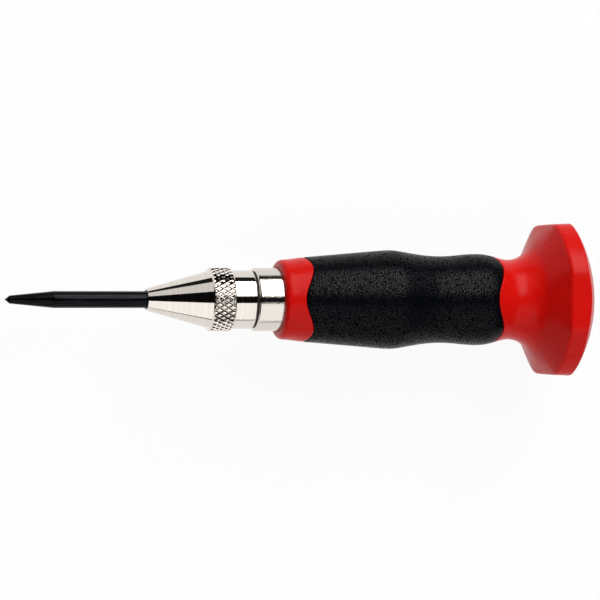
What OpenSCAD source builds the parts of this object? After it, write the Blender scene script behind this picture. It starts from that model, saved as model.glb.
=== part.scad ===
// Automatic center punch: pressing the handle loads a striker inside the barrel,
// which is let go near the end of the stroke and drives the pin into the work.
// Lengths are in millimetres and angles in degrees. The tool lies along X with its
// point toward -X, and the origin is the middle of its box. Places along the tool
// are counted from the point of the pin, and each name that starts with at_ is one.

/* [Punch pin] */
// Length of the short cone at the point
point_len = 1.2; // [0.8:0.05:2]
// Radius at the base of the short cone
point_r = 0.95; // [0.6:0.05:1.3]
// Length of the long taper behind the point
taper_len = 10.35; // [7:0.05:14]
// Radius of the straight shank
pin_r = 2; // [1.7:0.05:2.3]
// Length of pin that stands out of the nose
pin_reach = 33.7; // [26:0.1:38]
// How much larger in radius the guided part of the pin is
guide_step = 0.2; // [0.15:0.01:0.3]
// Length of pin that the nose guides
guide_len = 9.1; // [7:0.1:11]
// How far the flange stands out from the guided part
flange_rim = 1.3; // [1.1:0.05:1.5]
// Thickness of the flange
flange_t = 2; // [1.2:0.1:3]
// Radius of the tail that sits in the drive rod
tail_r = 1.5; // [1.2:0.05:1.7]
// Length of the tail
tail_len = 6; // [4:0.1:9]

/* [Drive rod] */
// Radius of the thick front part
rod_r = 2.4; // [2.2:0.05:2.6]
// Length of the thick front part
rod_len = 22.4; // [21.6:0.1:24]
// Radius of the thin stem that bears on the release block
stem_r = 1.3; // [1.1:0.05:1.5]

/* [Nose] */
// Width of the flat ring at the front of the nose
nose_lip = 0.35; // [0.25:0.05:0.8]
// Length of the cone
cone_len = 15.1; // [12:0.1:18]
// How far the rear of the cone lies inside the plain cylinder
cone_step = 0.17; // [0.05:0.01:0.4]
// How far the knurled band stands out over the plain cylinder
knurl_rise = 0.55; // [0.3:0.05:0.9]
// Length of the knurled band
knurl_len = 5.05; // [3.5:0.05:6.5]
// Length of the slope at the front of the knurled band
knurl_front = 0.3; // [0.2:0.05:0.8]
// Length of the slope at the rear of the knurled band
knurl_rear = 0.55; // [0.3:0.05:1]
// How far the plain cylinder behind the band lies inside the barrel's surface
nose_step = 0.58; // [0.4:0.01:0.8]
// Length of the plain cylinder
nose_rear_len = 4.6; // [3:0.05:6]
// Length of the threaded end that screws into the barrel
spigot_len = 6.5; // [6:0.1:7.5]
// Height of the shoulder between the plain cylinder and the threaded end
spigot_step = 1.5; // [1.4:0.05:1.7]
// Room around the flange of the pin
chamber_gap = 0.3; // [0.2:0.05:0.4]
// Thickness of the washer between nose and barrel
washer_t = 0.3; // [0.2:0.05:0.5]
// Width of the washer's ring
washer_w = 1.2; // [0.8:0.05:1.3]

/* [Barrel] */
// Radius of the tube
barrel_r = 7.58; // [7.4:0.01:7.9]
// Length of the tube
barrel_len = 58.6; // [56:0.1:61]
// Length of tube that shows between the washer and the handle
barrel_show = 5.9; // [5:0.1:7]
// Wall of the tube behind the nose thread
barrel_wall = 1.68; // [1.55:0.01:1.75]
// Depth of the step from the tube down to its rear thread
thread_step = 0.58; // [0.5:0.01:0.7]
// Rounding at the front edge of the tube
barrel_edge = 0.4; // [0.2:0.05:0.7]
// Radius of the section of the friction ring
ring_section = 0.5; // [0.4:0.05:0.6]
// Distance of the friction ring behind the mouth of the handle
ring_depth = 7.2; // [5:0.1:11]

/* [Striker] */
// Length of the striker
striker_len = 24; // [22:0.1:26]
// Distance from the striker's front to the middle of the release block
block_setback = 5.9; // [5:0.1:7]
// Radius of the release block
block_r = 2.6; // [2.4:0.05:2.8]
// Sideways travel of the release block
block_shift = 0.8; // [0.7:0.05:0.85]
// Depth of the flat that the stem bears on
block_flat = 0.4; // [0.3:0.05:0.6]
// Room for the release spring beside the resting release block
release_room = 2.04; // [1.8:0.02:2.4]
// Thickness of the plug behind the release spring
plug_t = 0.7; // [0.5:0.05:0.9]
// Length of the guide bush
bush_len = 8.8; // [8.6:0.1:9.4]
// Length of the trip sleeve
trip_len = 17; // [14:0.1:19]
// Length of the cone in the mouth of the trip sleeve
trip_cone = 2.7; // [2:0.1:4]
// Wall of the trip sleeve
trip_wall = 0.9; // [0.85:0.05:1]

/* [Springs] */
// Wire radius of the main spring
main_wire = 0.62; // [0.5:0.01:0.7]
// Number of turns of the main spring
main_turns = 8; // [6:0.5:9]
// Wire radius of the return spring
return_wire = 0.25; // [0.2:0.01:0.3]
// Number of turns of the return spring
return_turns = 9; // [6:0.5:12]
// Wire radius of the release spring
release_wire = 0.14; // [0.1:0.01:0.18]
// Number of turns of the release spring
release_turns = 3; // [2:0.5:3]
// Thickness of the flange of the spring guide
guide_flange = 1.5; // [1:0.1:2]
// Length of the spring guide's peg
guide_peg = 6; // [4:0.1:8]
// Thickness of the thrust washer
thrust_t = 1.5; // [1:0.1:2.5]

/* [Handle] */
// Wall of the collar just behind its rounded lip
lip_wall = 1.78; // [1.5:0.02:2.1]
// Rounding of the lip
lip_round = 0.5; // [0.3:0.05:1.2]
// Length of the collar from the lip to the grip line
collar_len = 6.4; // [5:0.1:7.5]
// How far the collar stands out over the core at the grip line
collar_rise = 0.84; // [0.7:0.01:1.2]
// Thickness of the grip at the front swell
front_swell_t = 2.66; // [2.1:0.01:3.5]
// Distance of the front swell from the lip
front_swell_at = 28.6; // [25:0.1:32]
// Thickness of the grip at the waist
waist_t = 1.25; // [1:0.01:1.7]
// Distance of the waist from the lip
waist_at = 41.2; // [38:0.1:44]
// Thickness of the grip at the rear swell
rear_swell_t = 1.85; // [1.7:0.01:2.7]
// Distance of the rear swell from the lip
rear_swell_at = 50.5; // [48:0.1:52.5]
// How far the neck in front of the guard stands out over the core
neck_rise = 0.46; // [0.3:0.01:0.7]
// Distance of the neck from the lip
neck_at = 58.7; // [57:0.1:61]
// Wall of the core around the threaded insert
core_wall = 0.92; // [0.8:0.01:1.2]
// Length of the threaded insert
insert_len = 14.5; // [12:0.1:17]
// Wall of the threaded insert
insert_wall = 1.3; // [1:0.05:1.5]
// Depth of the seat behind the barrel for the thrust washer
seat_depth = 3.5; // [3:0.1:6]

/* [Grip] */
// Distance of the front end of the grip from the lip
grip_front = 6.4; // [5.5:0.1:7.5]
// Distance of the rear end of the grip from the lip
grip_rear = 54.4; // [53.6:0.1:55.4]
// Height of the broad wave at the front end
front_wave = 0.7; // [0.4:0.05:0.9]
// Height of the short wave at the front end
front_ripple = 0.9; // [0.5:0.05:1.1]
// Height of the broad wave at the rear end
rear_wave = 0.85; // [0.5:0.05:1.1]
// Height of the short wave at the rear end
rear_ripple = 0.75; // [0.4:0.05:0.9]

/* [Guard] */
// Half the width across the flats at the front edge
guard_half = 18.46; // [16:0.02:21]
// Half the length of a flat at the front edge
guard_flat = 7.3; // [5:0.1:9]
// How far the corners between the flats bulge past a straight cut
guard_bulge = 1.2; // [0.4:0.05:2]
// Draft of the flats
guard_draft = 2.7; // [0.5:0.1:4]
// Radius of the hollow that leads from the neck to the guard
flare_r = 7.5; // [6.5:0.1:8.5]
// Slope at which the hollow runs out under the guard
flare_slope = 57.5; // [50:0.5:62]
// Slope of the underside in front of the flats
under_slope = 54; // [49:0.5:59]
// Slope of the underside in front of the corners
corner_slope = 66; // [63:0.5:70]
// Length from the neck to the front edge of the guard
guard_run = 9.9; // [8.5:0.02:11]
// Length from the front edge of the guard to the top of the dome
guard_len = 10.42; // [9:0.02:13]
// Radius of the dome
dome_r = 34.4; // [30:0.1:45]

/* [Motion] */
// Travel of the pin before the striker is let go
stroke = 8; // [7:0.1:8.2]
// How far the handle can screw inward
feed_in = 4; // [2:0.1:4.5]

/* [Fits] */
// Radial clearance of parts that slide or turn on each other
run_gap = 0.06; // [0.03:0.01:0.09]
// Radial clearance drawn at threads
thread_gap = 0.08; // [0.04:0.01:0.1]
// Gap drawn between parts that are pressed or moulded together
press_gap = 0.02; // [0.01:0.01:0.04]
// Gap drawn at faces that rest on each other
rest_gap = 0.05; // [0.02:0.01:0.1]
// Clear space left where a part stops short of another
stop_gap = 0.3; // [0.2:0.05:0.5]
// Clear space left for the end of a part that screws in
run_out = 1.5; // [1:0.1:2]

/* [Hidden] */
$fn = 72;

steel = "#8d9094";
plated = "#d7d8da";
satin_plated = "#b9babb";
black_oxide = "#1d1e20";
brass = "#b8923e";
rubber = "#141416";
red = "#c81610";

// Sections of a spring's wire, along one turn and around the wire
turn_steps = 8;
wire_sides = 6;
// Points along each stretch of the handle's outline and along each wavy grip end
outline_steps = 10;
wave_steps = 24;
// Share of the first stretch of the grip that rounds over into the swell
crest_round = 0.12;
// How early the outline falls behind each swell
front_fall = 0.75;
rear_fall = 1.18;
// Length by which a cutting shape passes the faces that it cuts
over = 1;

// Radii that follow from a neighbour and a clearance
nose_r = barrel_r - nose_step;
cone_r = nose_r - cone_step;
knurl_r = nose_r + knurl_rise;
spigot_r = nose_r - spigot_step;
bore_r = barrel_r - barrel_wall;
guide_r = pin_r + guide_step;
nose_bore_r = guide_r + run_gap;
nose_tip_r = nose_bore_r + nose_lip;
flange_r = guide_r + flange_rim;
chamber_r = flange_r + chamber_gap;
nose_thread_r = spigot_r + thread_gap;
bush_bore_r = rod_r + run_gap;
trip_bore_r = bore_r - press_gap - trip_wall;
striker_r = trip_bore_r - run_gap;
stem_bore_r = stem_r + run_gap + rest_gap;
block_bore_r = block_r + run_gap;
thread_r = barrel_r - thread_step;
insert_bore_r = thread_r + thread_gap;
insert_r = insert_bore_r + insert_wall;
core_r = insert_r + core_wall;
collar_r = core_r + collar_rise;
front_swell_r = core_r + front_swell_t;
waist_r = core_r + waist_t;
rear_swell_r = core_r + rear_swell_t;
neck_r = core_r + neck_rise;
handle_bore_r = barrel_r + run_gap;
lip_r = handle_bore_r + lip_wall;
ring_r = handle_bore_r - press_gap - ring_section;
clear_r = thread_r + stop_gap;
thrust_r = trip_bore_r;
seat_r = thrust_r + stop_gap;
main_r = striker_r - main_wire - stop_gap;
peg_r = main_r - main_wire - stop_gap;
return_r = (rod_r + flange_r) / 2;
release_r = block_r / 2;
// Places of the plug's inner face and of the resting block's foot, across the tool
plug_face = -striker_r + plug_t;
block_foot = plug_face + release_room;
// A radius that passes the corners of the guard
guard_clear = 2 * guard_half;
// Radius of a bulged corner, and how far its axis lies past the tool's axis along Y and Z
corner_half = (guard_half - guard_flat) / sqrt(2);
corner_r = (pow(corner_half, 2) + pow(guard_bulge, 2)) / (2 * guard_bulge);
corner_at = (corner_r - guard_bulge) / sqrt(2) - (guard_half + guard_flat) / 2;

// Places of the pin and the nose
at_shank = point_len + taper_len;
at_nose = pin_reach;
at_guide = at_nose - stop_gap;
at_chamber = at_nose + guide_len;
at_flange = at_chamber + rest_gap;
at_rod = at_flange + flange_t;
at_cone = at_nose + cone_len;
at_knurl = at_cone + knurl_front;
at_knurl_end = at_knurl + knurl_len;
at_washer = at_knurl_end + knurl_rear + nose_rear_len;
at_spigot_end = at_washer + spigot_len;

// Places of the barrel and what it holds
at_barrel = at_washer + washer_t;
at_barrel_end = at_barrel + barrel_len;
at_bush = at_spigot_end + 2 * stop_gap;
at_bush_end = at_bush + bush_len;
at_striker = at_bush_end + stop_gap;
at_block = at_striker + block_setback;
at_stem_end = at_block - block_r + block_flat - rest_gap;
at_striker_end = at_striker + striker_len;
at_trip = at_block + block_r + stroke + stop_gap;
at_trip_end = at_trip + trip_len;

// Places of the handle
at_lip = at_barrel + barrel_show;
at_ring = at_lip + ring_depth;
at_insert_end = at_barrel_end + run_out;
at_insert = at_insert_end - insert_len;
at_thread = at_insert - feed_in - run_out;
at_clear_end = at_barrel_end + feed_in + run_out;
at_seat = at_clear_end + seat_depth;
at_thrust = at_seat - rest_gap - thrust_t;
at_main = at_striker_end + rest_gap + guide_flange;
at_neck = at_lip + neck_at;
at_flare_end = at_neck + flare_r * sin(flare_slope);
flare_end_r = neck_r + flare_r * (1 - cos(flare_slope));
at_rim = at_neck + guard_run;
overall_len = at_rim + guard_len;

// Turns a profile of [place, radius] points about the tool's axis
module turned(profile)
    translate([-overall_len / 2, 0, 0])
        rotate([0, 90, 0])
            rotate_extrude()
                polygon([for (p = profile) [p[1], p[0]]]);

// A tube between two places; a bore of 0 makes a solid rod
module tube(from, to, radius, bore = 0)
    turned([[from, bore], [from, radius], [to, radius], [to, bore]]);

// Moves a shape drawn around the origin to a place on the tool's axis
module on_axis(place)
    translate([place - overall_len / 2, 0, 0]) children();

// A cylinder across the tool, along Y
module cross_rod(radius, low, high)
    rotate([-90, 0, 0]) translate([0, 0, low]) cylinder(r = radius, h = high - low);

// A coil spring along X that starts at the origin and fills the given length
module coil(length, radius, wire, turns) {
    climb = (length - 2 * wire) / turns;
    lean = atan(climb / (2 * PI * radius));
    steps = turns * turn_steps;
    last = steps * wire_sides;
    rings = [for (i = [0 : steps], k = [0 : wire_sides - 1])
        let (a = 360 * i / turn_steps, b = 360 * k / wire_sides)
        [wire + climb * i / turn_steps - wire * sin(b) * cos(lean),
         (radius + wire * cos(b)) * cos(a) - wire * sin(b) * sin(lean) * sin(a),
         (radius + wire * cos(b)) * sin(a) + wire * sin(b) * sin(lean) * cos(a)]];
    sides = [for (i = [0 : steps - 1], k = [0 : wire_sides - 1])
        let (here = i * wire_sides, next = here + wire_sides, n = (k + 1) % wire_sides)
        each [[here + k, next + k, next + n], [here + k, next + n, here + n]]];
    ends = [for (k = [1 : wire_sides - 2])
        each [[0, k, k + 1], [last, last + k + 1, last + k]]];
    polyhedron(rings, concat(sides, ends), convexity = 8);
}

// A rise from 0 to 1 that starts straight and rounds over at its end
function crest(t) =
    (t - pow(max(0, t - 1 + crest_round), 2) / (2 * crest_round)) / (1 - crest_round / 2);

// A smooth change from 0 to 1 that comes early for a fall below 1
function sweep(t, fall) = (1 - cos(180 * pow(t, fall))) / 2;

// The outline of collar, grip and neck, as [place, radius] points
steps_01 = [for (i = [1 : outline_steps]) i / outline_steps];
lip_points = [for (a = [180 : -15 : 90])
    [at_lip + lip_round * (1 + cos(a)), lip_r + lip_round * (sin(a) - 1)]];
front_swell_points = [for (t = steps_01)
    [at_lip + collar_len + (front_swell_at - collar_len) * t,
     collar_r + (front_swell_r - collar_r) * crest(t)]];
waist_points = [for (t = steps_01)
    [at_lip + front_swell_at + (waist_at - front_swell_at) * t,
     front_swell_r + (waist_r - front_swell_r) * sweep(t, front_fall)]];
rear_swell_points = [for (t = steps_01)
    [at_lip + waist_at + (rear_swell_at - waist_at) * t,
     waist_r + (rear_swell_r - waist_r) * sweep(t, 1)]];
neck_points = [for (t = steps_01)
    [at_lip + rear_swell_at + (neck_at - rear_swell_at) * t,
     rear_swell_r + (neck_r - rear_swell_r) * sweep(t, rear_fall)]];
flare_points = [for (t = steps_01)
    [at_neck + flare_r * sin(flare_slope * t), neck_r + flare_r * (1 - cos(flare_slope * t))]];
grip_outline = concat([[at_lip, 0]], lip_points, [[at_lip + collar_len, collar_r]],
                      front_swell_points, waist_points, rear_swell_points, neck_points);

// The handle's whole outline, with the underside of the guard run on past its corners
module handle_outline() {
    at_clear = at_flare_end + (guard_clear - flare_end_r) / tan(corner_slope);
    at_back = max(at_clear, overall_len) + over;
    turned(concat(grip_outline, flare_points,
                  [[at_clear, guard_clear], [at_back, guard_clear], [at_back, 0]]));
}

// A block with four flats and bulged corners, from [place, growth] points along the tool
module guard_block(stations) {
    last = len(stations) - 1;
    flats = concat([for (s = stations) [s[0], guard_half + s[1]]],
                   [for (i = [last : -1 : 0]) [stations[i][0], -guard_half - stations[i][1]]]);
    corner = concat([[stations[0][0], 0]], [for (s = stations) [s[0], corner_r + s[1]]],
                    [[stations[last][0], 0]]);
    intersection() {
        on_axis(0) linear_extrude(2 * guard_clear, center = true) polygon(flats);
        on_axis(0) rotate([90, 0, 0]) linear_extrude(2 * guard_clear, center = true) polygon(flats);
        translate([0, -corner_at, -corner_at]) turned(corner);
        translate([0, -corner_at, corner_at]) turned(corner);
        translate([0, corner_at, -corner_at]) turned(corner);
        translate([0, corner_at, corner_at]) turned(corner);
    }
}

// The handle without its bores: turned outline, guard with flats and domed end
module handle_blank() {
    under = (at_rim - at_flare_end) * tan(under_slope);
    back = (guard_len + over) * tan(guard_draft);
    intersection() {
        handle_outline();
        union() {
            tube(at_lip - over, at_flare_end + rest_gap, guard_clear);
            intersection() {
                guard_block([[at_flare_end, -under], [at_rim, 0], [overall_len + over, back]]);
                on_axis(overall_len - dome_r) rotate([0, 90, 0]) sphere(dome_r, $fn = 120);
            }
        }
    }
}

// Place of a wavy grip end at a distance y from the middle plane
function wave_at(base, wave, ripple, y) =
    let (q = pow(y / collar_r, 2))
    base - wave * (1 - 2 * q) - ripple * (1 - 8 * q * (1 - q));

// The space that the grip fills outside the core, drawn smaller all round by a gap
module grip_space(gap) {
    reach = collar_r + over;
    ys = [for (i = [0 : wave_steps]) reach * (2 * i / wave_steps - 1)];
    front = [for (y = ys)
        [at_lip + wave_at(grip_front, front_wave, front_ripple, y) + gap, y]];
    rear = [for (i = [wave_steps : -1 : 0])
        [at_lip + wave_at(grip_rear, rear_wave, rear_ripple, ys[i]) - gap, ys[i]]];
    wide = 2 * front_swell_r;
    sides = [[front[wave_steps][0], wide], [rear[0][0], wide]];
    low_sides = [[rear[wave_steps][0], -wide], [front[0][0], -wide]];
    difference() {
        translate([-overall_len / 2, 0, 0])
            linear_extrude(2 * wide, center = true)
                polygon(concat(front, sides, rear, low_sides));
        tube(at_lip - over, at_rim, core_r + gap);
    }
}

module punch_pin() color(black_oxide)
    turned([[0, 0], [point_len, point_r], [at_shank, pin_r], [at_guide, pin_r],
            [at_guide, guide_r], [at_flange, guide_r], [at_flange, flange_r],
            [at_rod, flange_r], [at_rod, tail_r], [at_rod + tail_len, tail_r],
            [at_rod + tail_len, 0]]);

module drive_rod() color(steel) {
    at_front = at_rod + press_gap;
    at_shoulder = at_rod + rod_len;
    at_socket = at_rod + tail_len + rest_gap;
    socket_r = tail_r + press_gap;
    turned([[at_front, socket_r], [at_front, rod_r], [at_shoulder, rod_r],
            [at_shoulder, stem_r], [at_stem_end, stem_r], [at_stem_end, 0],
            [at_socket, 0], [at_socket, socket_r]]);
}

module return_spring() color(steel)
    on_axis(at_rod + rest_gap)
        coil(at_bush - at_rod - 2 * rest_gap, return_r, return_wire, return_turns);

module nose_cone() color(plated)
    turned([[at_nose, nose_bore_r], [at_nose, nose_tip_r], [at_cone, cone_r],
            [at_knurl, knurl_r], [at_knurl_end, knurl_r], [at_knurl_end + knurl_rear, nose_r],
            [at_washer - rest_gap, nose_r], [at_washer - rest_gap, spigot_r],
            [at_spigot_end, spigot_r], [at_spigot_end, chamber_r], [at_chamber, chamber_r],
            [at_chamber, nose_bore_r]]);

module nose_washer() color(rubber)
    tube(at_washer, at_barrel - rest_gap, spigot_r + run_gap + washer_w, spigot_r + run_gap);

module barrel() color(satin_plated)
    difference() {
        turned([[at_barrel, nose_thread_r], [at_barrel, barrel_r - barrel_edge],
                [at_barrel + barrel_edge, barrel_r], [at_thread, barrel_r], [at_thread, thread_r],
                [at_barrel_end, thread_r], [at_barrel_end, bore_r], [at_bush, bore_r],
                [at_bush, nose_thread_r]]);
        tube(at_ring - ring_section, at_ring + ring_section, barrel_r + over,
             ring_r - ring_section - press_gap);
    }

module barrel_o_ring() color(rubber)
    translate([at_ring - overall_len / 2, 0, 0])
        rotate([0, 90, 0])
            rotate_extrude()
                translate([ring_r, 0]) circle(ring_section - press_gap, $fn = 24);

module guide_bush() color(brass)
    tube(at_bush + press_gap, at_bush_end, bore_r - press_gap, bush_bore_r);

module trip_sleeve() color(steel)
    turned([[at_trip, bore_r - 2 * press_gap], [at_trip + rest_gap, bore_r - press_gap],
            [at_trip_end, bore_r - press_gap], [at_trip_end, trip_bore_r],
            [at_trip + trip_cone, trip_bore_r]]);

module striker() color(steel)
    difference() {
        tube(at_striker, at_striker_end, striker_r);
        tube(at_striker - over, at_block + block_r + stroke + stop_gap, stem_bore_r);
        on_axis(at_block) cross_rod(block_bore_r, -striker_r - over, striker_r + over);
    }

// At rest the block stands off centre, so that its hole misses the stem
module release_block() color(steel)
    translate([0, block_shift, 0])
        difference() {
            intersection() {
                on_axis(at_block) cross_rod(block_r, block_foot - block_shift, striker_r);
                tube(at_block - block_r - over, at_block + block_r + over, striker_r);
            }
            tube(at_block - block_r - over, at_block + block_r + over, stem_bore_r);
            on_axis(at_block - block_r - over)
                translate([0, -striker_r, -block_r])
                    cube([over + block_flat, 2 * striker_r, 2 * block_r]);
        }

module release_spring() color(steel)
    translate([at_block - overall_len / 2, plug_face + rest_gap, 0])
        rotate([0, 0, 90])
            coil(block_foot - plug_face - 2 * rest_gap, release_r, release_wire, release_turns);

module release_plug() color(steel)
    intersection() {
        on_axis(at_block) cross_rod(block_bore_r - press_gap, -striker_r, plug_face);
        tube(at_block - block_r - over, at_block + block_r + over, striker_r);
    }

module spring_guide() color(steel)
    turned([[at_striker_end + rest_gap, 0], [at_striker_end + rest_gap, striker_r],
            [at_main, striker_r], [at_main, peg_r], [at_main + guide_peg, peg_r],
            [at_main + guide_peg, 0]]);

module main_spring() color(steel)
    on_axis(at_main + rest_gap)
        coil(at_thrust - at_main - 2 * rest_gap, main_r, main_wire, main_turns);

module thrust_washer() color(steel)
    tube(at_thrust, at_thrust + thrust_t, thrust_r);

module thread_insert() color(brass)
    tube(at_insert, at_insert_end, insert_r, insert_bore_r);

module handle_body() color(red)
    difference() {
        handle_blank();
        turned([[at_lip - over, 0], [at_lip - over, handle_bore_r],
                [at_insert - press_gap, handle_bore_r],
                [at_insert - press_gap, insert_r + press_gap],
                [at_insert_end + press_gap, insert_r + press_gap],
                [at_insert_end + press_gap, clear_r], [at_clear_end, clear_r],
                [at_clear_end, seat_r], [at_seat, seat_r], [at_seat, 0]]);
        grip_space(0);
    }

module grip_sleeve() color(rubber)
    intersection() {
        turned(concat(grip_outline, [[at_neck, 0]]));
        grip_space(press_gap);
    }

punch_pin();
drive_rod();
return_spring();
nose_cone();
nose_washer();
barrel();
barrel_o_ring();
guide_bush();
trip_sleeve();
striker();
release_block();
release_spring();
release_plug();
spring_guide();
main_spring();
thrust_washer();
thread_insert();
handle_body();
grip_sleeve();
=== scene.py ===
import math

import bmesh
import bpy
from bpy.props import FloatProperty, FloatVectorProperty, IntProperty, PointerProperty
from mathutils import Matrix, Vector


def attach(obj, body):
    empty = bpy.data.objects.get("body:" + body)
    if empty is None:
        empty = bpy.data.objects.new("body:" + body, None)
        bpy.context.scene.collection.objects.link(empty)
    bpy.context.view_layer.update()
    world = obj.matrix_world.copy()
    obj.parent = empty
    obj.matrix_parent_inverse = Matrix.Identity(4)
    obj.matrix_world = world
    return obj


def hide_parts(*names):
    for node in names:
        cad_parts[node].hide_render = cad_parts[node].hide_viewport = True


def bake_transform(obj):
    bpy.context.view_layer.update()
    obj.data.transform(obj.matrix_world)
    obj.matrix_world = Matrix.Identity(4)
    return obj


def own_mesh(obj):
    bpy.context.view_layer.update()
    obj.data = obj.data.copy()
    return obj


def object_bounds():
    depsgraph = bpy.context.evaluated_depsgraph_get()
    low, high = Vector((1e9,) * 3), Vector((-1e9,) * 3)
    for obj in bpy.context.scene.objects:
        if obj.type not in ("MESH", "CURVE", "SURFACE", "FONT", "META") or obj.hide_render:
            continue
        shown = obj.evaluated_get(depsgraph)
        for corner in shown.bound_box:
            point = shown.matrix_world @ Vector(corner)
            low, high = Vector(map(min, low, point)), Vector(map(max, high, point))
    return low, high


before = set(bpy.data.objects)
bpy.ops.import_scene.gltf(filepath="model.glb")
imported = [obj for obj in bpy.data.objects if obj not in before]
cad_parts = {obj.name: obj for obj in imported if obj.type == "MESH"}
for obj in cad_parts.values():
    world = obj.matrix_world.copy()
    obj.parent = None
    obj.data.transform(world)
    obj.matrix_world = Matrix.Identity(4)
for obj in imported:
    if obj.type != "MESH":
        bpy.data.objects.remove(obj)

bl_info = {
    "name": "Automatic Center Punch",
    "version": (1, 0, 0),
    "blender": (4, 5, 0),
    "location": "3D View > Sidebar > Punch",
    "description": "Builds the looks of an automatic center punch around its solids",
    "category": "Object",
}

CAD_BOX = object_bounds()

# Shapes below are drawn in millimetres and made in metres. Places along the tool are
# counted from the point of the pin, as in the part's source.
MM = 0.001
POINT_X = CAD_BOX[0][0]

# Places of the pin, nose and barrel
AT_TAPER = 1.15
AT_SHANK = 11.55
AT_GUIDE = 33.4
AT_NOSE = 33.7
AT_CHAMBER = 42.8
AT_FLANGE = 42.85
AT_ROD = 44.85
AT_TAIL_END = 50.85
AT_CONE = 48.6
AT_KNURL = 48.9
AT_KNURL_END = 53.65
AT_NOSE_REAR = 54.05
AT_NOSE_END = 59.25
AT_BARREL = 59.6
AT_SPIGOT_END = 65.8
AT_BUSH = 66.4
AT_THREAD = 99.7
AT_BARREL_END = 118.2

# Places of the friction ring's groove, the striker's release and the main spring
GROOVE = (72.2, 73.2)
AT_BLOCK = 81.4
AT_MAIN = 101.05
AT_THRUST = 125.65

# Places of the handle
AT_LIP = 65.65
AT_INSERT = 105.18
AT_INSERT_END = 119.72
AT_CLEAR_END = 123.7
AT_SEAT = 127.2
AT_NECK = 124.2
AT_RIM = 134.1
AT_DOME = 144.52

# Radii
POINT_R = 0.95
PIN_R = 2.0
GUIDE_R = 2.2
FLANGE_R = 3.5
TAIL_R = 1.5
NOSE_BORE_R = 2.26
NOSE_TIP_R = 2.61
CONE_R = 6.83
KNURL_R = 7.55
NOSE_R = 7.0
CHAMBER_R = 3.8
SPIGOT_R = 5.5
NOSE_THREAD_R = 5.58
BARREL_R = 7.58
BORE_R = 5.9
THREAD_R = 7.0
GROOVE_R = 6.6
HANDLE_BORE_R = 7.64
INSERT_SEAT_R = 8.4
CLEAR_R = 7.3
SEAT_R = 5.28
CORE_R = 9.3
LIP_R = 9.5
LIP_ROUND = 1.3
COLLAR_R = 10.14
NECK_R = 9.76

# The outline of the handle: distance behind the lip and radius at each swell and hollow
COLLAR_LEN = 6.25
FRONT_SWELL = (28.45, 11.96)
WAIST = (41.05, 10.55)
REAR_SWELL = (50.35, 11.15)
NECK_LEN = 58.55
CREST_ROUND = 0.12
FRONT_FALL = 0.75
REAR_FALL = 1.18

# Wavy ends of the grip: distance behind the lip, broad wave and short wave
FRONT_WAVE = (6.25, 0.7, 0.9)
REAR_WAVE = (54.25, 0.85, 0.75)
GRIP_GAP = 0.02

# The guard
GUARD_HALF = 18.46
GUARD_FLAT = 7.3
GUARD_BULGE = 1.2
CORNER_HALF = (GUARD_HALF - GUARD_FLAT) / math.sqrt(2)
CORNER_R = (CORNER_HALF ** 2 + GUARD_BULGE ** 2) / (2 * GUARD_BULGE)
CORNER_AT = CORNER_R - GUARD_BULGE - (GUARD_HALF + GUARD_FLAT) / math.sqrt(2)
# How softly the flats meet the bulged corners
CORNER_BLEND = 0.35
GUARD_DRAFT = math.tan(math.radians(2.7))
FLARE_R = 7.5
FLARE_SLOPE = math.radians(57.5)
DOME_R = 34.4

# Rounded corners of outlines get this many steps, and shading breaks at this angle
ROUND_STEPS = 5
SHARP_ANGLE = math.radians(30)
# A face whose two diagonals differ in height by more than this many mm is split
FOLD = 0.02
TURNED_SIDES = 144
HANDLE_SIDES = 288

# Noise patterns stay mostly between these two values
PATTERN_LOW = 0.3
PATTERN_HIGH = 0.7


def linear(code):
    """Turns a colour written as sRGB hex into linear red, green, blue and alpha."""
    channels = [int(code[i:i + 2], 16) / 255 for i in (1, 3, 5)]
    return [c / 12.92 if c <= 0.04045 else ((c + 0.055) / 1.055) ** 2.4
            for c in channels] + [1.0]


def colour(name, description, code):
    """A colour that the user can change."""
    return FloatVectorProperty(name=name, description=description, subtype="COLOR",
                               size=4, min=0, max=1, default=linear(code))


class PunchShape(bpy.types.PropertyGroup):
    """Sizes of the details that the solids leave plain"""

    knurl_count: IntProperty(
        name="Knurl count", description="Diamonds around the knurled band", default=36)
    knurl_pitch: FloatProperty(
        name="Knurl pitch", description="Length of one diamond along the tool",
        unit="LENGTH", default=2.15 * MM, precision=5)
    knurl_depth: FloatProperty(
        name="Knurl depth", description="Depth of the grooves between the diamonds",
        unit="LENGTH", default=0.3 * MM, precision=5)
    rim_edge: FloatProperty(
        name="Rim edge", description="Rounding of the guard's front edge",
        unit="LENGTH", default=0.9 * MM, precision=5)
    dome_edge: FloatProperty(
        name="Dome edge", description="Rounding between the guard's sides and its dome",
        unit="LENGTH", default=0.6 * MM, precision=5)
    seam_edge: FloatProperty(
        name="Seam edge", description="Rounding of the red edge along the grip's ends",
        unit="LENGTH", default=0.2 * MM, precision=5)
    grip_edge: FloatProperty(
        name="Grip edge", description="Rounding of the grip's own ends",
        unit="LENGTH", default=0.45 * MM, precision=5)
    mouth_slope: FloatProperty(
        name="Mouth slope", description="Chamfer at the mouth of the handle",
        unit="LENGTH", default=0.2 * MM, precision=5)
    machined_edge: FloatProperty(
        name="Machined edge", description="Rounding of the edges of the turned parts",
        unit="LENGTH", default=0.12 * MM, precision=5)


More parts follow.
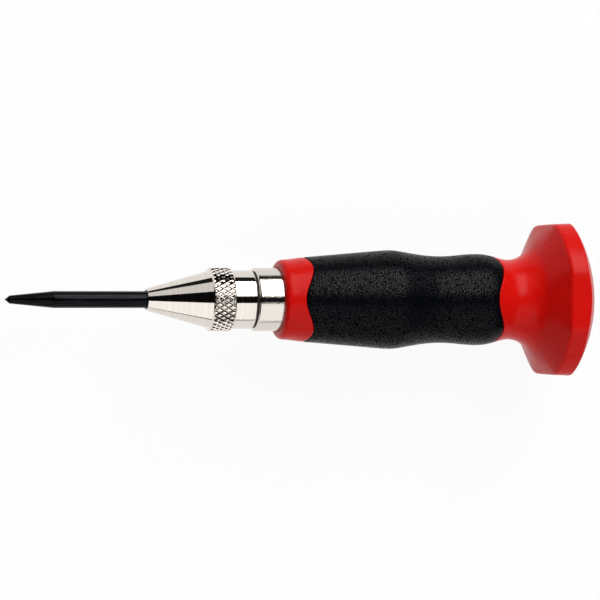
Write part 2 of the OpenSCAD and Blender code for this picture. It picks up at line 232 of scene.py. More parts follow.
class PunchFinish(bpy.types.PropertyGroup):
    """Colours of the finishes"""

    oxide: colour("Black oxide", "Oxidised steel of the pin", "#151517")
    nickel: colour("Bright nickel", "Plating of the nose", "#e4ddd5")
    satin: colour("Satin nickel", "Plating of the barrel", "#ddd6ce")
    steel: colour("Tool steel", "Turned parts inside", "#9a9ca0")
    wire: colour("Spring wire", "Drawn wire of the springs", "#7c7f84")
    brass: colour("Brass", "Bush and threaded insert", "#c79f4c")
    rubber: colour("Rubber", "Washer and friction ring", "#161618")
    red: colour("Red plastic", "Moulded handle", "#ce100a")
    grip: colour("Soft grip", "Moulded grip sleeve", "#050609")


class PunchStage(bpy.types.PropertyGroup):
    """Floor, light and camera"""

    floor: colour("Floor", "Paper under the tool", "#f2f2f2")
    card: colour("Cards", "Dark cards beside the tool", "#040404")
    room: colour("Room", "Dark room around the stage", "#0c0c0c")
    softbox: FloatProperty(
        name="Softbox power", description="Radiant power of a square metre of the dim softbox",
        default=2.5)
    tilt: FloatProperty(
        name="Camera tilt", description="Turn of the camera toward the point of the pin",
        subtype="ANGLE", default=math.radians(15.7))
    distance: FloatProperty(
        name="Camera distance", description="From the camera to the tool's axis",
        unit="LENGTH", default=624 * MM)
    lens: FloatProperty(
        name="Focal length", description="Focal length of the camera in millimetres",
        default=156)


def spot(place, radius, turn):
    """A point at a place along the tool, a radius and a turn about it from +Y to +Z."""
    return Vector((POINT_X + place * MM, radius * MM * math.cos(turn),
                   radius * MM * math.sin(turn)))


def turns(count):
    """Even turns about the axis."""
    return [2 * math.pi * i / count for i in range(count)]


def rounded(corners):
    """An outline of [place, radius] points from corners [place, radius, rounding]."""
    outline = []
    for i, (place, radius, rounding) in enumerate(corners):
        here = Vector((place, radius))
        if not rounding:
            outline.append((place, radius))
            continue
        back = (Vector(corners[i - 1][:2]) - here).normalized()
        ahead = (Vector(corners[i + 1][:2]) - here).normalized()
        half = math.acos(max(-1, min(1, back.dot(ahead)))) / 2
        middle = here + (back + ahead).normalized() * rounding / math.sin(half)
        first = here + back * rounding / math.tan(half) - middle
        last = here + ahead * rounding / math.tan(half) - middle
        start = math.atan2(first.y, first.x)
        swing = math.remainder(math.atan2(last.y, last.x) - start, 2 * math.pi)
        # A point a little before and behind the rounding keeps its shading off the flats.
        outline.append(tuple(middle + first + back * rounding / 2))
        for k in range(ROUND_STEPS + 1):
            a = start + swing * k / ROUND_STEPS
            outline.append((middle.x + rounding * math.cos(a),
                            middle.y + rounding * math.sin(a)))
        outline.append(tuple(middle + last + ahead * rounding / 2))
    return outline


def rings(outline, sides):
    """Rings of points for an outline that is turned; a radius of 0 gives one point."""
    return [[spot(p, r, a) for a in turns(sides)] if r > 0 else [spot(p, 0, 0)]
            for p, r in outline]


def folded(face):
    """Splits a face of four corners along its lower diagonal if it isn't nearly flat."""
    if len(face) < 4:
        return [face]
    a, b, c, d = face
    heights = [math.hypot(v.co.y, v.co.z) for v in face]
    lift = heights[0] + heights[2] - heights[1] - heights[3]
    if abs(lift) < FOLD * MM:
        return [face]
    return [[a, b, c], [a, c, d]] if lift < 0 else [[b, c, d], [b, d, a]]


def placed(name, data):
    """An object in the scene that shows a mesh, light or camera."""
    made = bpy.data.objects.new(name, data)
    bpy.context.scene.collection.objects.link(made)
    return made


def skin(name, ring_list, material, loop=False):
    """A closed mesh over rings of points; loop joins the last ring to the first."""
    shape = bmesh.new()
    made = [[shape.verts.new(p) for p in ring] for ring in ring_list]
    pairs = list(zip(made, made[1:]))
    if loop:
        pairs.append((made[-1], made[0]))
    for low, high in pairs:
        sides = max(len(low), len(high))
        for i in range(sides):
            n = (i + 1) % sides
            corners = [low[i % len(low)], low[n % len(low)],
                       high[n % len(high)], high[i % len(high)]]
            for face in folded(list(dict.fromkeys(corners))):
                shape.faces.new(face)
    if not loop:
        for ring in (made[0], made[-1]):
            if len(ring) > 1:
                shape.faces.new(ring)
    bmesh.ops.recalc_face_normals(shape, faces=shape.faces)
    mesh = bpy.data.meshes.new(name)
    shape.to_mesh(mesh)
    shape.free()
    mesh.shade_smooth()
    mesh.set_sharp_from_angle(angle=SHARP_ANGLE)
    mesh.materials.append(material)
    return placed(name, mesh)


def dress(piece, body, node):
    """Lets a piece stand for a solid and ride on its body."""
    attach(piece, body)
    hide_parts(node)


def crest(t):
    """A rise from 0 to 1 that starts straight and rounds over at its end."""
    late = max(0, t - 1 + CREST_ROUND)
    return (t - late ** 2 / (2 * CREST_ROUND)) / (1 - CREST_ROUND / 2)


def sweep(t, fall):
    """A smooth change from 0 to 1 that comes early for a fall below 1."""
    return (1 - math.cos(math.pi * t ** fall)) / 2


def grip_radius(place):
    """Radius of collar, grip and neck at a place behind the lip's rounding."""
    d = place - AT_LIP
    if d < COLLAR_LEN:
        return LIP_R + (COLLAR_R - LIP_R) * (d - LIP_ROUND) / (COLLAR_LEN - LIP_ROUND)
    stretches = (
        (COLLAR_LEN, COLLAR_R, FRONT_SWELL, crest),
        (*FRONT_SWELL, WAIST, lambda t: sweep(t, FRONT_FALL)),
        (*WAIST, REAR_SWELL, lambda t: sweep(t, 1)),
        (*REAR_SWELL, (NECK_LEN, NECK_R), lambda t: sweep(t, REAR_FALL)),
    )
    for start, from_r, (end, to_r), change in stretches:
        if d <= end:
            return from_r + (to_r - from_r) * change((d - start) / (end - start))
    return NECK_R


def wave_at(wave, radius, turn):
    """Place of a wavy grip end at a radius and turn."""
    base, broad, short = wave
    q = (radius * math.cos(turn) / COLLAR_R) ** 2
    return AT_LIP + base - broad * (1 - 2 * q) - short * (1 - 8 * q * (1 - q))


def guard_radius(place, turn):
    """Radius of the guard's flats and bulged corners at a place and turn."""
    grown = (place - AT_RIM) * GUARD_DRAFT
    fold = abs(math.remainder(turn, math.pi / 2))
    flat = (GUARD_HALF + grown) / math.cos(fold)
    along = -CORNER_AT * math.cos(math.pi / 4 - fold)
    corner = along + math.sqrt(along ** 2 - CORNER_AT ** 2 + (CORNER_R + grown) ** 2)
    near = math.exp(-abs(flat - corner) / CORNER_BLEND)
    return min(flat, corner) - CORNER_BLEND * math.log(1 + near)


def crossing(low, high, gap):
    """The place between two others where a gap that changes sign is zero."""
    for _ in range(40):
        middle = (low + high) / 2
        if gap(low) * gap(middle) <= 0:
            high = middle
        else:
            low = middle
    return (low + high) / 2


def add(tree, kind, inputs=None, **settings):
    """Adds a shader node with its own settings, and fills or links its inputs."""
    made = tree.nodes.new("ShaderNode" + kind)
    for key, value in settings.items():
        setattr(made, key, value)
    for key, value in (inputs or {}).items():
        if isinstance(value, bpy.types.NodeSocket):
            tree.links.new(value, made.inputs[key])
        else:
            made.inputs[key].default_value = value
    return made


def surface(name, **sockets):
    """A material with one Principled shader; gives also its tree and object coordinates."""
    material = bpy.data.materials.new(name)
    material.use_nodes = True
    tree = material.node_tree
    tree.nodes.clear()
    shader = add(tree, "BsdfPrincipled", {k.replace("_", " "): v for k, v in sockets.items()})
    add(tree, "OutputMaterial", {"Surface": shader.outputs["BSDF"]})
    where = add(tree, "TexCoord").outputs["Object"]
    return material, tree, shader, where


def per_mm(size):
    """Texture scale at which one cell of a pattern is this many millimetres."""
    return 1 / (size * MM)


def shades(tree, shader, pattern, dark, light):
    """Lets a pattern vary the base colour between a dark and a light one."""
    ramp = add(tree, "ValToRGB", {"Fac": pattern})
    first, last = ramp.color_ramp.elements
    first.position, first.color = PATTERN_LOW, dark
    last.position, last.color = PATTERN_HIGH, light
    tree.links.new(ramp.outputs["Color"], shader.inputs["Base Color"])


def scaled(shade, share):
    """A colour with its light scaled by a share."""
    return [min(1, c * share) for c in shade[:3]] + [1.0]


def spread(tree, shader, socket, pattern, low, high, start=PATTERN_LOW, end=PATTERN_HIGH):
    """Lets a pattern vary a number of the shader between two values."""
    span = add(tree, "MapRange", {"Value": pattern, "From Min": start, "From Max": end,
                                  "To Min": low, "To Max": high})
    tree.links.new(span.outputs["Result"], shader.inputs[socket])


def relief(tree, shader, pattern, height):
    """Lets a pattern raise the surface by a height in millimetres."""
    bump = add(tree, "Bump", {"Height": pattern, "Distance": height * MM, "Strength": 1.0})
    tree.links.new(bump.outputs["Normal"], shader.inputs["Normal"])


def black_oxide(shade):
    """Black-oxide steel, centreless ground: a dull black with faint marks along it."""
    material, tree, shader, where = surface("black_oxide_steel_ground", Metallic=1.0)
    # Grinding marks are finer than a pixel, so they are drawn 0.35 mm wide and 6 mm long.
    long = add(tree, "Mapping", {"Vector": where, "Scale": (0.06, 1, 1)}).outputs["Vector"]
    marks = add(tree, "TexNoise", {"Vector": long, "Scale": per_mm(0.35), "Detail": 3}).outputs["Fac"]
    shades(tree, shader, marks, scaled(shade, 0.6), scaled(shade, 1.7))
    spread(tree, shader, "Roughness", marks, 0.18, 0.3)
    relief(tree, shader, marks, 0.004)
    return material


def turned_marks(tree, where, width):
    """Rings that a turning tool leaves, as a pattern that changes only along the tool."""
    along = add(tree, "SeparateXYZ", {"Vector": where}).outputs["X"]
    scale = add(tree, "Math", {0: along, 1: per_mm(width)}, operation="MULTIPLY").outputs[0]
    return add(tree, "TexNoise", {"W": scale, "Scale": 1.0, "Detail": 4, "Roughness": 0.7},
               noise_dimensions="1D").outputs["Fac"]


def bright_nickel(shade):
    """Bright nickel over turned brass: a mirror with faint rings that blur along it."""
    material, tree, shader, where = surface("nickel_plated_turned", Metallic=1.0)
    # The feed marks are about 0.1 mm apart, and are drawn 0.9 mm wide so that they show.
    marks = turned_marks(tree, where, 0.9)
    shades(tree, shader, marks, scaled(shade, 0.9), shade)
    spread(tree, shader, "Roughness", marks, 0.04, 0.09)
    relief(tree, shader, marks, 0.004)
    return material


def satin_nickel(shade):
    """Satin nickel over drawn steel tube: a soft mirror with a fine orange peel."""
    material, tree, shader, where = surface("nickel_plated_satin", Metallic=1.0)
    # The peel is about 0.1 mm across, and is drawn 0.3 mm across so that it shows.
    peel = add(tree, "TexNoise", {"Vector": where, "Scale": per_mm(0.3), "Detail": 3}).outputs["Fac"]
    shades(tree, shader, peel, scaled(shade, 0.9), shade)
    spread(tree, shader, "Roughness", peel, 0.06, 0.12)
    relief(tree, shader, peel, 0.026)
    return material


def tool_steel(shade):
    """Tool steel, turned and hardened: grey metal with turned rings."""
    material, tree, shader, where = surface("tool_steel_turned", Metallic=1.0)
    marks = turned_marks(tree, where, 0.6)
    shades(tree, shader, marks, scaled(shade, 0.75), shade)
    spread(tree, shader, "Roughness", marks, 0.24, 0.38)
    relief(tree, shader, marks, 0.004)
    return material


def drawn_wire(shade):
    """Spring wire, cold drawn: grey metal with mottled roughness from its lubricant."""
    material, tree, shader, where = surface("spring_steel_drawn", Metallic=1.0)
    mottle = add(tree, "TexNoise", {"Vector": where, "Scale": per_mm(0.8), "Detail": 3}).outputs["Fac"]
    shades(tree, shader, mottle, scaled(shade, 0.75), shade)
    spread(tree, shader, "Roughness", mottle, 0.25, 0.42)
    return material


def turned_brass(shade):
    """Free-cutting brass, turned: yellow metal with turned rings and a little tarnish."""
    material, tree, shader, where = surface("brass_turned", Metallic=1.0)
    marks = turned_marks(tree, where, 0.7)
    shades(tree, shader, marks, scaled(shade, 0.8), shade)
    spread(tree, shader, "Roughness", marks, 0.2, 0.34)
    relief(tree, shader, marks, 0.004)
    return material


def moulded_rubber(shade):
    """Nitrile rubber, moulded: a dull black with a faint bloom."""
    material, tree, shader, where = surface("nitrile_rubber_moulded", IOR=1.52)
    bloom = add(tree, "TexNoise", {"Vector": where, "Scale": per_mm(1.5), "Detail": 4}).outputs["Fac"]
    shades(tree, shader, bloom, scaled(shade, 0.8), scaled(shade, 1.4))
    spread(tree, shader, "Roughness", bloom, 0.5, 0.68)
    return material


def moulded_red(shade):
    """Polypropylene, injection moulded: strong red with a soft gloss and a faint ripple."""
    material, tree, shader, where = surface("polypropylene_moulded_red", IOR=1.49,
                                             Specular_IOR_Level=0.1)
    # The ripple comes from the polished mould, and is about 2 mm across.
    ripple = add(tree, "TexNoise", {"Vector": where, "Scale": per_mm(2), "Detail": 2}).outputs["Fac"]
    shades(tree, shader, ripple, scaled(shade, 0.94), scaled(shade, 1.03))
    spread(tree, shader, "Roughness", ripple, 0.25, 0.31)
    relief(tree, shader, ripple, 0.006)
    return material


def soft_grip(shade):
    """Thermoplastic elastomer, moulded in a grained mould: black with a fine leather grain."""
    material, tree, shader, where = surface("elastomer_moulded_grained", IOR=1.5)
    # Flat grains about 0.55 mm across stand between narrow hollows, with finer wrinkles.
    cells = add(tree, "TexVoronoi", {"Vector": where, "Scale": per_mm(0.55)},
                feature="DISTANCE_TO_EDGE").outputs["Distance"]
    grains = add(tree, "MapRange", {"Value": cells, "From Max": 0.22}).outputs["Result"]
    wrinkles = add(tree, "TexNoise", {"Vector": where, "Scale": per_mm(0.35), "Detail": 4,
                                      "Roughness": 0.6}).outputs["Fac"]
    grain = add(tree, "Math", {0: wrinkles, 1: 1.5, 2: grains},
                operation="MULTIPLY_ADD").outputs[0]
    shades(tree, shader, wrinkles, scaled(shade, 0.7), scaled(shade, 1.5))
    # The tops of the grains shine, and the hollows are dull.
    spread(tree, shader, "Specular IOR Level", grain, 0.0, 0.13, 1.0, 1.7)
    spread(tree, shader, "Roughness", wrinkles, 0.15, 0.3)
    relief(tree, shader, grain, 0.017)
    return material


class PUNCH_OT_pin(bpy.types.Operator):
    """Makes the black punch pin"""

    bl_idname = "punch.pin"
    bl_label = "Punch Pin"

    # Rounding of the bend between taper and shank
    bend = 4

    def execute(self, context):
        edge = context.scene.punch_shape.machined_edge / MM
        outline = rounded([
            (0, 0, 0), (AT_TAPER, POINT_R, edge), (AT_SHANK, PIN_R, self.bend),
            (AT_GUIDE, PIN_R, 0), (AT_GUIDE, GUIDE_R, edge / 2), (AT_FLANGE, GUIDE_R, 0),
            (AT_FLANGE, FLANGE_R, edge),
            (AT_ROD, FLANGE_R, edge), (AT_ROD, TAIL_R, 0), (AT_TAIL_END, TAIL_R, edge),
            (AT_TAIL_END, 0, 0)])
        material = black_oxide(context.scene.punch_finish.oxide)
        piece = skin("pin", rings(outline, TURNED_SIDES), material)
        dress(piece, "punch", "punch_pin")
        return {"FINISHED"}


class PUNCH_OT_nose(bpy.types.Operator):
    """Makes the plated nose with its diamond knurl"""

    bl_idname = "punch.nose"
    bl_label = "Nose"

    steps = 10
    slope_steps = 4
    # Share by which the sides of the diamonds would pass their flat tops
    overrun = 1.7

    def execute(self, context):
        shape = context.scene.punch_shape
        edge = shape.machined_edge / MM
        sides = shape.knurl_count * self.steps
        front = rounded([(AT_CHAMBER, NOSE_BORE_R, 0), (AT_NOSE, NOSE_BORE_R, edge / 2),
                         (AT_NOSE, NOSE_TIP_R, edge), (AT_CONE - edge, self.cone(AT_CONE - edge), 0),
                         (AT_CONE, CONE_R, 0)])
        rear = rounded([(AT_NOSE_REAR, NOSE_R, 0), (AT_NOSE_REAR + edge, NOSE_R, 0),
                        (AT_NOSE_END, NOSE_R, 3 * edge), (AT_NOSE_END, SPIGOT_R, 0),
                        (AT_SPIGOT_END, SPIGOT_R, edge), (AT_SPIGOT_END, CHAMBER_R, 0),
                        (AT_CHAMBER, CHAMBER_R, 0)])
        rows = round((AT_KNURL_END - AT_KNURL) / (shape.knurl_pitch / MM) * self.steps)
        band = (self.between(AT_CONE, AT_KNURL, self.slope_steps)[1:]
                + self.between(AT_KNURL, AT_KNURL_END, rows)
                + self.between(AT_KNURL_END, AT_NOSE_REAR, self.slope_steps))
        knurl = [[spot(p, self.knurl_radius(shape, p, a), a) for a in turns(sides)]
                 for p in band]
        ring_list = rings(front, sides) + knurl + rings(rear, sides)
        material = bright_nickel(context.scene.punch_finish.nickel)
        piece = skin("nose", ring_list, material, loop=True)
        dress(piece, "nose", "nose_cone")
        return {"FINISHED"}

    def between(self, start, end, steps):
        """Even places from a start up to, but without, an end."""
        return [start + (end - start) * i / steps for i in range(steps)]

    def cone(self, place):
        """Radius of the cone at a place."""
        return NOSE_TIP_R + (CONE_R - NOSE_TIP_R) * (place - AT_NOSE) / (AT_CONE - AT_NOSE)

    def knurl_radius(self, shape, place, turn):
        """Radius of the knurled band, where two families of grooves cross."""
        slope_in = CONE_R + (KNURL_R - CONE_R) * (place - AT_CONE) / (AT_KNURL - AT_CONE)
        slope_out = NOSE_R + (KNURL_R - NOSE_R) * (AT_NOSE_REAR - place) / (
            AT_NOSE_REAR - AT_KNURL_END)
        around = shape.knurl_count * turn / (2 * math.pi)
        along = (place - AT_KNURL) * MM / shape.knurl_pitch
        side = min(abs(math.remainder(around + along, 1)), abs(math.remainder(around - along, 1)))
        height = min(1, 2 * self.overrun * side)
        return min(slope_in, slope_out, KNURL_R - shape.knurl_depth / MM * (1 - height))


class PUNCH_OT_barrel(bpy.types.Operator):
    """Makes the plated barrel"""

    bl_idname = "punch.barrel"
    bl_label = "Barrel"

    def execute(self, context):
        edge = context.scene.punch_shape.machined_edge / MM
        outline = rounded([
            (AT_BARREL, NOSE_THREAD_R, 0), (AT_BARREL, BARREL_R, 4 * edge),
            (GROOVE[0], BARREL_R, 0), (GROOVE[0], GROOVE_R, 0), (GROOVE[1], GROOVE_R, 0),
            (GROOVE[1], BARREL_R, 0), (AT_THREAD, BARREL_R, edge), (AT_THREAD, THREAD_R, 0),
            (AT_BARREL_END, THREAD_R, edge), (AT_BARREL_END, BORE_R, 0), (AT_BUSH, BORE_R, 0),
            (AT_BUSH, NOSE_THREAD_R, 0)])
        material = satin_nickel(context.scene.punch_finish.satin)
        piece = skin("barrel_tube", rings(outline, TURNED_SIDES), material, loop=True)
        dress(piece, "barrel", "barrel")
        return {"FINISHED"}


class PUNCH_OT_handle(bpy.types.Operator):
    """Makes the red handle with its collar, neck and domed guard"""

    bl_idname = "punch.handle"
    bl_label = "Handle"

    collar_steps = 6
    neck_steps = 8
    flare_steps = 12
    dome_steps = 18

    def execute(self, context):
        shape = context.scene.punch_shape
        sides = turns(HANDLE_SIDES)
        outlines = [self.outline(shape, a) for a in sides]
        ring_list = [[spot(p, r, a) for (p, r), a in zip(row, sides)]
                     for row in zip(*outlines)]
        for end, place in ((0, AT_SEAT), (-1, AT_DOME)):
            ring_list[end] = [spot(place, 0, 0)]
        material = moulded_red(context.scene.punch_finish.red)
        piece = skin("handle", ring_list, material)
        dress(piece, "handle", "handle_body")
        return {"FINISHED"}

    def outline(self, shape, turn):
        """The handle's outline at one turn, from the bottom of its bore to its dome."""
        seam = shape.seam_edge / MM
        slope = shape.mouth_slope / MM
        bore = [(AT_SEAT, 0, 0), (AT_SEAT, SEAT_R, 0), (AT_CLEAR_END, SEAT_R, 0),
                (AT_CLEAR_END, CLEAR_R, 0), (AT_INSERT_END, CLEAR_R, 0),
                (AT_INSERT_END, INSERT_SEAT_R, 0), (AT_INSERT, INSERT_SEAT_R, 0),
                (AT_INSERT, HANDLE_BORE_R, 0)]
        mouth = [(AT_LIP + slope, HANDLE_BORE_R, 0), (AT_LIP, HANDLE_BORE_R + slope, slope / 4),
                 (AT_LIP, LIP_R, LIP_ROUND)]
        front_end = wave_at(FRONT_WAVE, grip_radius(AT_LIP + FRONT_WAVE[0]), turn)
        rear_end = wave_at(REAR_WAVE, grip_radius(AT_LIP + REAR_WAVE[0]), turn)
        first = AT_LIP + 2 * LIP_ROUND
        last = front_end - 2 * seam
        collar = [(p, grip_radius(p), 0) for p in
                  [first + (last - first) * i / self.collar_steps
                   for i in range(self.collar_steps + 1)]]
        seat = [(front_end, grip_radius(front_end), seam),
                (wave_at(FRONT_WAVE, CORE_R, turn), CORE_R, 0),
                (wave_at(REAR_WAVE, CORE_R, turn), CORE_R, 0),
                (rear_end, grip_radius(rear_end), seam)]
        start = rear_end + 2 * seam
        neck = [(p, grip_radius(p), 0) for p in
                [start + (AT_NECK - start) * i / self.neck_steps
                 for i in range(self.neck_steps)]]
        slopes = [FLARE_SLOPE * i / self.flare_steps for i in range(self.flare_steps + 1)]
        flare = [(AT_NECK + FLARE_R * math.sin(s), NECK_R + FLARE_R * (1 - math.cos(s)), 0)
                 for s in slopes]
        return rounded(bore + mouth + collar + seat + neck + flare
                       + self.guard(shape, turn))

    def guard(self, shape, turn):
        """Corners of the guard's outline at one turn, behind the end of the flare."""
        centre = AT_DOME - DOME_R

        def dome(place):
            return math.sqrt(max(0, DOME_R ** 2 - (place - centre) ** 2))

        top = crossing(AT_RIM, AT_DOME, lambda p: dome(p) - guard_radius(p, turn))
        lean = math.asin(dome(top) / DOME_R)
        leans = [lean * (1 - i / self.dome_steps) for i in range(1, self.dome_steps + 1)]
        return [(AT_RIM, guard_radius(AT_RIM, turn), shape.rim_edge / MM),
                (top, dome(top), shape.dome_edge / MM)] + [
            (centre + DOME_R * math.cos(a), DOME_R * math.sin(a), 0) for a in leans]


class PUNCH_OT_grip(bpy.types.Operator):
    """Makes the soft grip sleeve with its wavy ends"""

    bl_idname = "punch.grip"
    bl_label = "Grip Sleeve"

    steps = 84

    def execute(self, context):
        seam = context.scene.punch_shape.grip_edge / MM
        sides = turns(HANDLE_SIDES)
        outlines = [self.outline(seam, a) for a in sides]
        ring_list = [[spot(p, r, a) for (p, r), a in zip(row, sides)]
                     for row in zip(*outlines)]
        material = soft_grip(context.scene.punch_finish.grip)
        piece = skin("grip", ring_list, material, loop=True)
        dress(piece, "handle", "grip_sleeve")
        return {"FINISHED"}

    def outline(self, seam, turn):
        """The closed outline of the sleeve's wall at one turn."""
        inside = CORE_R + GRIP_GAP
        front = wave_at(FRONT_WAVE, grip_radius(AT_LIP + FRONT_WAVE[0]), turn) + GRIP_GAP
        rear = wave_at(REAR_WAVE, grip_radius(AT_LIP + REAR_WAVE[0]), turn) - GRIP_GAP
        first = front + 2 * seam
        last = rear - 2 * seam
        outer = [(p, grip_radius(p), 0) for p in
                 [first + (last - first) * i / self.steps for i in range(self.steps + 1)]]
        return rounded(
            [(wave_at(FRONT_WAVE, inside, turn) + GRIP_GAP, inside, 0),
             (front, grip_radius(front), seam)] + outer
            + [(rear, grip_radius(rear), seam),
               (wave_at(REAR_WAVE, inside, turn) - GRIP_GAP, inside, 0)])


class PUNCH_OT_springs(bpy.types.Operator):
    """Makes the return, main and release springs of round wire"""

    bl_idname = "punch.springs"
    bl_label = "Springs"

    turn_steps = 40
    wire_sides = 12
    # Each spring: radius of its coil, radius of its wire and number of its turns
    return_size = (2.95, 0.25, 9)
    main_size = (4.0, 0.62, 8)
    release_size = (1.3, 0.14, 3)
    # The main spring is pressed from both ends, so each end has its own stretch of wire.
    # They meet at this share of its length, where one stops and the other starts in turns.
    main_middle = 0.571
    front_stretch = (0, 4.599)
    rear_stretch = (4.601, 8)
    # Space left at both ends of a spring, and the ends of the release spring along Y
    gap = 0.05
    release_ends = (-4.17, -2.23)

    def execute(self, context):
        material = drawn_wire(context.scene.punch_finish.wire)
        start = spot(AT_ROD + self.gap, 0, 0)
        end = spot(AT_BUSH - self.gap, 0, 0)
        piece = self.coil("return_coil", start, end, *self.return_size, material)
        dress(piece, "barrel", "return_spring")
        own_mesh(piece)
        start = spot(AT_MAIN + self.gap, 0, 0)
        end = spot(AT_THRUST - self.gap, 0, 0)
        main = (start, end, *self.main_size, material)
        piece = self.coil("main_coil_front", *main, stretch=self.front_stretch)
        dress(piece, "barrel", "main_spring")
        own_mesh(piece)
        piece = self.coil("main_coil_rear", *main, stretch=self.rear_stretch)
        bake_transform(piece)
        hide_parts("main_spring")
        start, end = [spot(AT_BLOCK, y, 0) for y in self.release_ends]
        piece = self.coil("release_coil", start, end, *self.release_size, material)
        dress(piece, "striker", "release_spring")
        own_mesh(piece)
        return {"FINISHED"}

    def coil(self, name, start, end, radius, wire, count, material, stretch=None):
        """A coil of round wire between two points, or a stretch of its turns; sizes in mm."""
        axis = (end - start).normalized()
        side = axis.orthogonal().normalized()
        other = axis.cross(side)
        climb = (end - start).length - 2 * wire * MM
        first, last = stretch or (0, count)
        steps = round((last - first) * self.turn_steps)
        path = []
        for i in range(steps + 1):
            turn = first + (last - first) * i / steps
            a = 2 * math.pi * turn
            out = side * math.cos(a) + other * math.sin(a)
            path.append((start + axis * (wire * MM + climb * turn / count), out))
        ring_list = [[middle + out * (radius + wire * math.cos(b)) * MM
                      + axis * wire * MM * math.sin(b) for b in turns(self.wire_sides)]
                     for middle, out in path]
        return skin(name, ring_list, material)


class PUNCH_OT_inner_parts(bpy.types.Operator):
    """Gives the solids that stay as they are their finishes"""

    bl_idname = "punch.inner_parts"
    bl_label = "Inner Parts"

    def execute(self, context):
        finish = context.scene.punch_finish
        groups = (
            (tool_steel(finish.steel), ("drive_rod", "trip_sleeve", "striker", "release_block",
                                        "release_plug", "spring_guide", "thrust_washer")),
            (turned_brass(finish.brass), ("guide_bush", "thread_insert")),
            (moulded_rubber(finish.rubber), ("nose_washer", "barrel_o_ring")))
        for material, nodes in groups:
            for name in nodes:
                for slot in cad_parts[name].material_slots:
                    slot.material = material
        return {"FINISHED"}


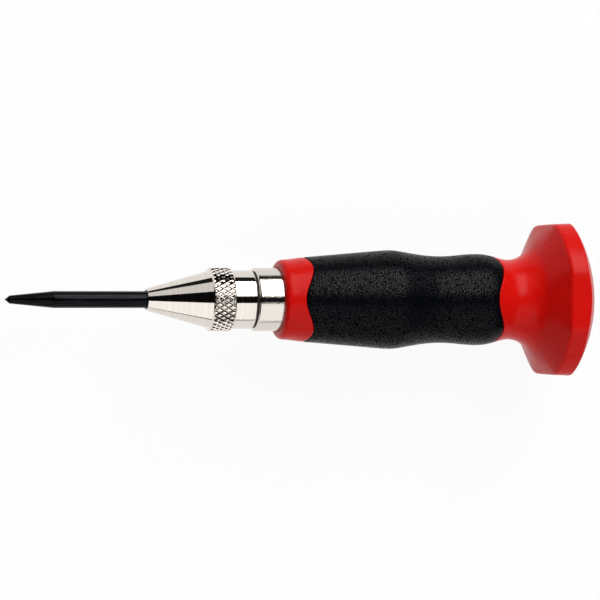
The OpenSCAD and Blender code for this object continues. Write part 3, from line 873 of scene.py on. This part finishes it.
class PUNCH_OT_stage(bpy.types.Operator):
    """Makes the floor, the softboxes and the camera"""

    bl_idname = "punch.stage"
    bl_label = "Stage"

    floor_half = 6.0
    # Share of plain white in what eye and gloss see of the floor
    whiteness = 0.93
    # Each softbox: its ends along X in metres, its ends in degrees from straight above
    # toward +Y, and its brightness as a multiple of the dim one
    softboxes = (("softbox_key", 0.02, 0.44, 14, 75, 6.8), ("softbox_dim", -0.7, 0.02, 33, 75, 1),
                 ("softbox_near", -0.5, 0.5, -86, -14, 1.55))
    softbox_reach = 0.7
    # Each dark card: its two ends seen from above and its upper edge, in metres
    cards = (((-0.25, 0.17), (0.25, 0.17), 0.05), ((-0.11, -0.06), (-0.11, 0.06), 0.013))
    # The point that the camera looks at
    aim = (-0.85 * MM, -0.11 * MM, 0)

    def execute(self, context):
        scene = context.scene
        stage = scene.punch_stage
        scene.view_settings.view_transform = "Standard"
        self.make_floor(stage)
        self.make_cards(stage)
        for softbox in self.softboxes:
            self.make_softbox(stage, *softbox)
        world = bpy.data.worlds.new("dark_studio")
        world.use_nodes = True
        world.node_tree.nodes["Background"].inputs["Color"].default_value = stage.room
        scene.world = world
        self.make_camera(scene, stage)
        return {"FINISHED"}

    def make_floor(self, stage):
        """A sheet of white paper under the tool."""
        half = self.floor_half
        low = CAD_BOX[0][2]
        mesh = bpy.data.meshes.new("floor")
        mesh.from_pydata([(-half, -half, low), (half, -half, low), (half, half, low),
                          (-half, half, low)], [], [(0, 1, 2, 3)])
        material, tree, shader, where = surface("white_paper_smooth", Roughness=0.9)
        fibres = add(tree, "TexNoise", {"Vector": where, "Scale": per_mm(40)}).outputs["Fac"]
        shades(tree, shader, fibres, scaled(stage.floor, 0.99), stage.floor)
        self.whiten(tree, shader)
        mesh.materials.append(material)
        placed("floor", mesh)

    def whiten(self, tree, shader):
        """Lets the paper look nearly white to eye and gloss, and keep a faint shadow."""
        path = add(tree, "LightPath").outputs
        seen = add(tree, "Math", {0: path["Is Camera Ray"], 1: path["Is Glossy Ray"]},
                   operation="MAXIMUM").outputs[0]
        seen = add(tree, "Math", {0: seen, 1: path["Is Transmission Ray"]},
                   operation="MAXIMUM").outputs[0]
        share = add(tree, "Math", {0: seen, 1: self.whiteness}, operation="MULTIPLY").outputs[0]
        white = add(tree, "Emission", {"Strength": 1.0}).outputs[0]
        mixed = add(tree, "MixShader", {"Fac": share, 1: shader.outputs[0], 2: white}).outputs[0]
        output = next(n for n in tree.nodes if n.type == "OUTPUT_MATERIAL")
        tree.links.new(mixed, output.inputs["Surface"])

    def make_cards(self, stage):
        """Dark cards at the far side and the left, which only gloss shows."""
        low = CAD_BOX[0][2]
        points = []
        for start, end, high in self.cards:
            points += [(*start, low), (*end, low), (*end, high), (*start, high)]
        mesh = bpy.data.meshes.new("dark_cards")
        mesh.from_pydata(points, [], [range(i, i + 4) for i in range(0, len(points), 4)])
        material, *_ = surface("black_card_matt", Base_Color=stage.card, Roughness=0.9)
        mesh.materials.append(material)
        cards = placed("dark_cards", mesh)
        cards.visible_camera = False
        cards.visible_diffuse = False
        cards.visible_shadow = False

    def make_softbox(self, stage, name, left, right, start, end, brightness):
        """A flat soft light square to its middle direction, which spans two angles."""
        middle = math.radians(start + end) / 2
        light = bpy.data.lights.new(name, "AREA")
        light.shape = "RECTANGLE"
        light.size = right - left
        light.size_y = 2 * self.softbox_reach * math.tan(math.radians(end - start) / 2)
        light.energy = stage.softbox * brightness * light.size * light.size_y
        lamp = placed(name, light)
        along = Vector((1, 0, 0))
        back = Vector((0, math.sin(middle), math.cos(middle)))
        lamp.matrix_world = Matrix.Translation(
            along * (left + right) / 2 + back * self.softbox_reach) @ Matrix(
            (along, back.cross(along), back)).transposed().to_4x4()
        lamp.visible_camera = False

    def make_camera(self, scene, stage):
        """The camera above the tool, turned a little toward the point."""
        view = bpy.data.cameras.new("camera")
        view.lens = stage.lens
        view.clip_start = 0.01
        camera = placed("camera", view)
        right = Vector((math.cos(stage.tilt), 0, math.sin(stage.tilt)))
        up = Vector((0, 1, 0))
        back = right.cross(up)
        camera.matrix_world = Matrix.Translation(
            Vector(self.aim) + back * stage.distance) @ Matrix(
            (right, up, back)).transposed().to_4x4()
        scene.camera = camera


OPERATORS = (PUNCH_OT_pin, PUNCH_OT_nose, PUNCH_OT_barrel, PUNCH_OT_handle, PUNCH_OT_grip,
             PUNCH_OT_springs, PUNCH_OT_inner_parts, PUNCH_OT_stage)


class PUNCH_PT_sidebar(bpy.types.Panel):
    """Lists the pieces of the punch"""

    bl_idname = "PUNCH_PT_sidebar"
    bl_label = "Center Punch"
    bl_space_type = "VIEW_3D"
    bl_region_type = "UI"
    bl_category = "Punch"

    def draw(self, context):
        for operator in OPERATORS:
            self.layout.operator(operator.bl_idname)


GROUPS = {"punch_shape": PunchShape, "punch_finish": PunchFinish, "punch_stage": PunchStage}
CLASSES = (*GROUPS.values(), *OPERATORS, PUNCH_PT_sidebar)


def register():
    for cls in CLASSES:
        bpy.utils.register_class(cls)
    for name, group in GROUPS.items():
        setattr(bpy.types.Scene, name, PointerProperty(type=group))


def unregister():
    for name in GROUPS:
        delattr(bpy.types.Scene, name)
    for cls in reversed(CLASSES):
        bpy.utils.unregister_class(cls)


def main():
    register()
    bpy.ops.punch.pin()
    bpy.ops.punch.nose()
    bpy.ops.punch.barrel()
    bpy.ops.punch.handle()
    bpy.ops.punch.grip()
    bpy.ops.punch.springs()
    bpy.ops.punch.inner_parts()
    bpy.ops.punch.stage()
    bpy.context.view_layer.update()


if __name__ == "__main__":
    main()
